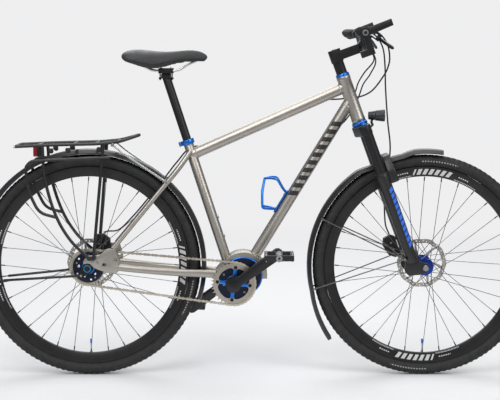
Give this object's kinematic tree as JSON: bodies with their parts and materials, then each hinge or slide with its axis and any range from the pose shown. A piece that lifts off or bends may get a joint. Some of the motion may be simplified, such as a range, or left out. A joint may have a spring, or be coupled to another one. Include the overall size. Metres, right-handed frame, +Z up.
{
  "type": "touring bicycle",
  "caption": "Touring bicycle with a gearbox at the cranks, chain drive, suspension fork, disc brakes, full fenders, rear rack, lamps, bottle cage, flat handlebar and padded saddle.",
  "frame": {"origin": "on the ground, under the middle of the bicycle's length and in its middle plane", "axes": "+X to the front of the bicycle, +Y to the rider's left, +Z up"},
  "size_m": [1.7942, 0.6222, 1.1311],
  "materials": {
    "titanium": "brushed bare titanium",
    "blue_anodised": "bright blue anodised, satin",
    "black_paint": "satin black coating",
    "black_aluminium": "satin black anodised",
    "black_plastic": "moulded, fine grain",
    "black_rubber": "matt",
    "tyre_rubber": "matt, treaded",
    "saddle_cover": "padded synthetic leather, fine grain",
    "chain_steel": "plain oiled steel",
    "bright_steel": "bright stainless"
  },
  "bodies": {
    "main_frame": {"frame": "titanium", "gearbox": "blue_anodised", "headset_upper": "blue_anodised", "headset_lower": "blue_anodised", "seat_collar": "blue_anodised", "rear_rack": "black_paint", "rack_stay_right": "bright_steel", "rack_stay_left": "bright_steel", "rear_light": "black_plastic", "rear_fender": "black_plastic", "rear_fender_stay_right": "black_paint", "rear_fender_stay_left": "black_paint", "bottle_cage": "blue_anodised", "rear_axle": "black_aluminium", "rear_caliper": "black_aluminium", "rear_brake_hose": "black_rubber", "shift_cable_upper": "black_rubber", "shift_cable_lower": "black_rubber", "chain": "chain_steel"},
    "seat": {"seatpost": "black_aluminium", "saddle_clamp": "black_aluminium", "saddle_rails": "bright_steel", "saddle": "saddle_cover"},
    "steering": {"fork_upper": "black_aluminium", "stem_spacers": "black_aluminium", "stem": "black_aluminium", "stem_faceplate": "black_aluminium", "handlebar": "black_aluminium", "grip_right": "black_rubber", "grip_left": "black_rubber", "bar_end_right": "black_aluminium", "bar_end_left": "black_aluminium", "shifter_housing": "black_plastic", "brake_body_right": "black_aluminium", "brake_body_left": "black_aluminium", "headlight": "black_plastic", "front_brake_hose": "black_rubber"},
    "shifter": {"shifter_sleeve": "black_rubber"},
    "lever_right": {"brake_lever_right": "black_aluminium"},
    "lever_left": {"brake_lever_left": "black_aluminium"},
    "fork_slider": {"fork_lowers": "black_paint", "front_axle": "bright_steel", "front_caliper": "black_aluminium", "front_fender": "black_plastic", "front_fender_stay_right": "black_paint", "front_fender_stay_left": "black_paint"},
    "front_wheel": {"front_tyre": "tyre_rubber", "front_rim": "black_aluminium", "front_hub": "blue_anodised", "front_rotor": "bright_steel"},
    "rear_wheel": {"rear_tyre": "tyre_rubber", "rear_rim": "black_aluminium", "rear_hub": "blue_anodised", "rear_rotor": "bright_steel"},
    "cranks": {"crank_right": "black_aluminium", "crank_left": "black_aluminium"},
    "chainring_body": {"chainring": "blue_anodised"},
    "sprocket_body": {"sprocket": "bright_steel"},
    "pedal_right_body": {"pedal_right": "black_plastic"},
    "pedal_left_body": {"pedal_left": "black_plastic"}
  },
  "joints": [
    {"name": "steering_turn", "type": "hinge", "parent": "main_frame", "child": "steering", "pos_m": [0.29945, 0, 0.90513], "axis": [-0.342, 0, 0.9397], "range_deg": [-60, 60], "deforming": ["rear_brake_hose", "shift_cable_upper", "shift_cable_lower"]},
    {"name": "fork_travel", "type": "slide", "parent": "steering", "child": "fork_slider", "axis": [-0.342, 0, 0.9397], "range_m": [0, 0.08], "stiffness_N_per_m": 8000, "springref_m": -0.03, "deforming": ["front_brake_hose"]},
    {"name": "front_wheel_spin", "type": "hinge", "parent": "fork_slider", "child": "front_wheel", "pos_m": [0.54225, 0, 0.355], "axis": [0, 1, 0], "continuous": true},
    {"name": "rear_wheel_spin", "type": "hinge", "parent": "main_frame", "child": "rear_wheel", "pos_m": [-0.52425, 0, 0.355], "axis": [0, 1, 0], "continuous": true},
    {"name": "crank_spin", "type": "hinge", "parent": "main_frame", "child": "cranks", "pos_m": [-0.06391, 0, 0.302], "axis": [0, 1, 0], "continuous": true, "deforming": ["chain"]},
    {"name": "chainring_spin", "type": "hinge", "parent": "main_frame", "child": "chainring_body", "pos_m": [-0.06391, 0, 0.302], "axis": [0, 1, 0], "continuous": true},
    {"name": "sprocket_spin", "type": "hinge", "parent": "main_frame", "child": "sprocket_body", "pos_m": [-0.52425, 0, 0.355], "axis": [0, 1, 0], "continuous": true},
    {"name": "pedal_right_spin", "type": "hinge", "parent": "cranks", "child": "pedal_right_body", "pos_m": [0.07767, -0.141, 0.40486], "axis": [0, 1, 0], "continuous": true},
    {"name": "pedal_left_spin", "type": "hinge", "parent": "cranks", "child": "pedal_left_body", "pos_m": [-0.20548, 0.141, 0.19914], "axis": [0, 1, 0], "continuous": true},
    {"name": "brake_lever_right_pull", "type": "hinge", "parent": "steering", "child": "lever_right", "pos_m": [0.37594, -0.16, 1.07639], "axis": [0.5878, 0, 0.809], "range_deg": [-22, 0], "stiffness_Nm_per_rad": 2, "springref_deg": 11.46},
    {"name": "brake_lever_left_pull", "type": "hinge", "parent": "steering", "child": "lever_left", "pos_m": [0.37594, 0.16, 1.07639], "axis": [0.5878, 0, 0.809], "range_deg": [0, 22], "stiffness_Nm_per_rad": 2, "springref_deg": -11.46},
    {"name": "shifter_twist", "type": "hinge", "parent": "steering", "child": "shifter", "pos_m": [0.33094, -0.19, 1.0903], "axis": [-0.0531, -0.9986, -0.0031], "range_deg": [-150, 150]},
    {"name": "seat_height", "type": "slide", "parent": "main_frame", "child": "seat", "axis": [-0.309, 0, 0.9511], "range_m": [-0.06, 0.08]}
  ],
  "couplings": [
    {"joint": "chainring_spin", "follows": "crank_spin", "ratio": 1.0588},
    {"joint": "sprocket_spin", "follows": "crank_spin", "ratio": 1.2857}
  ]
}
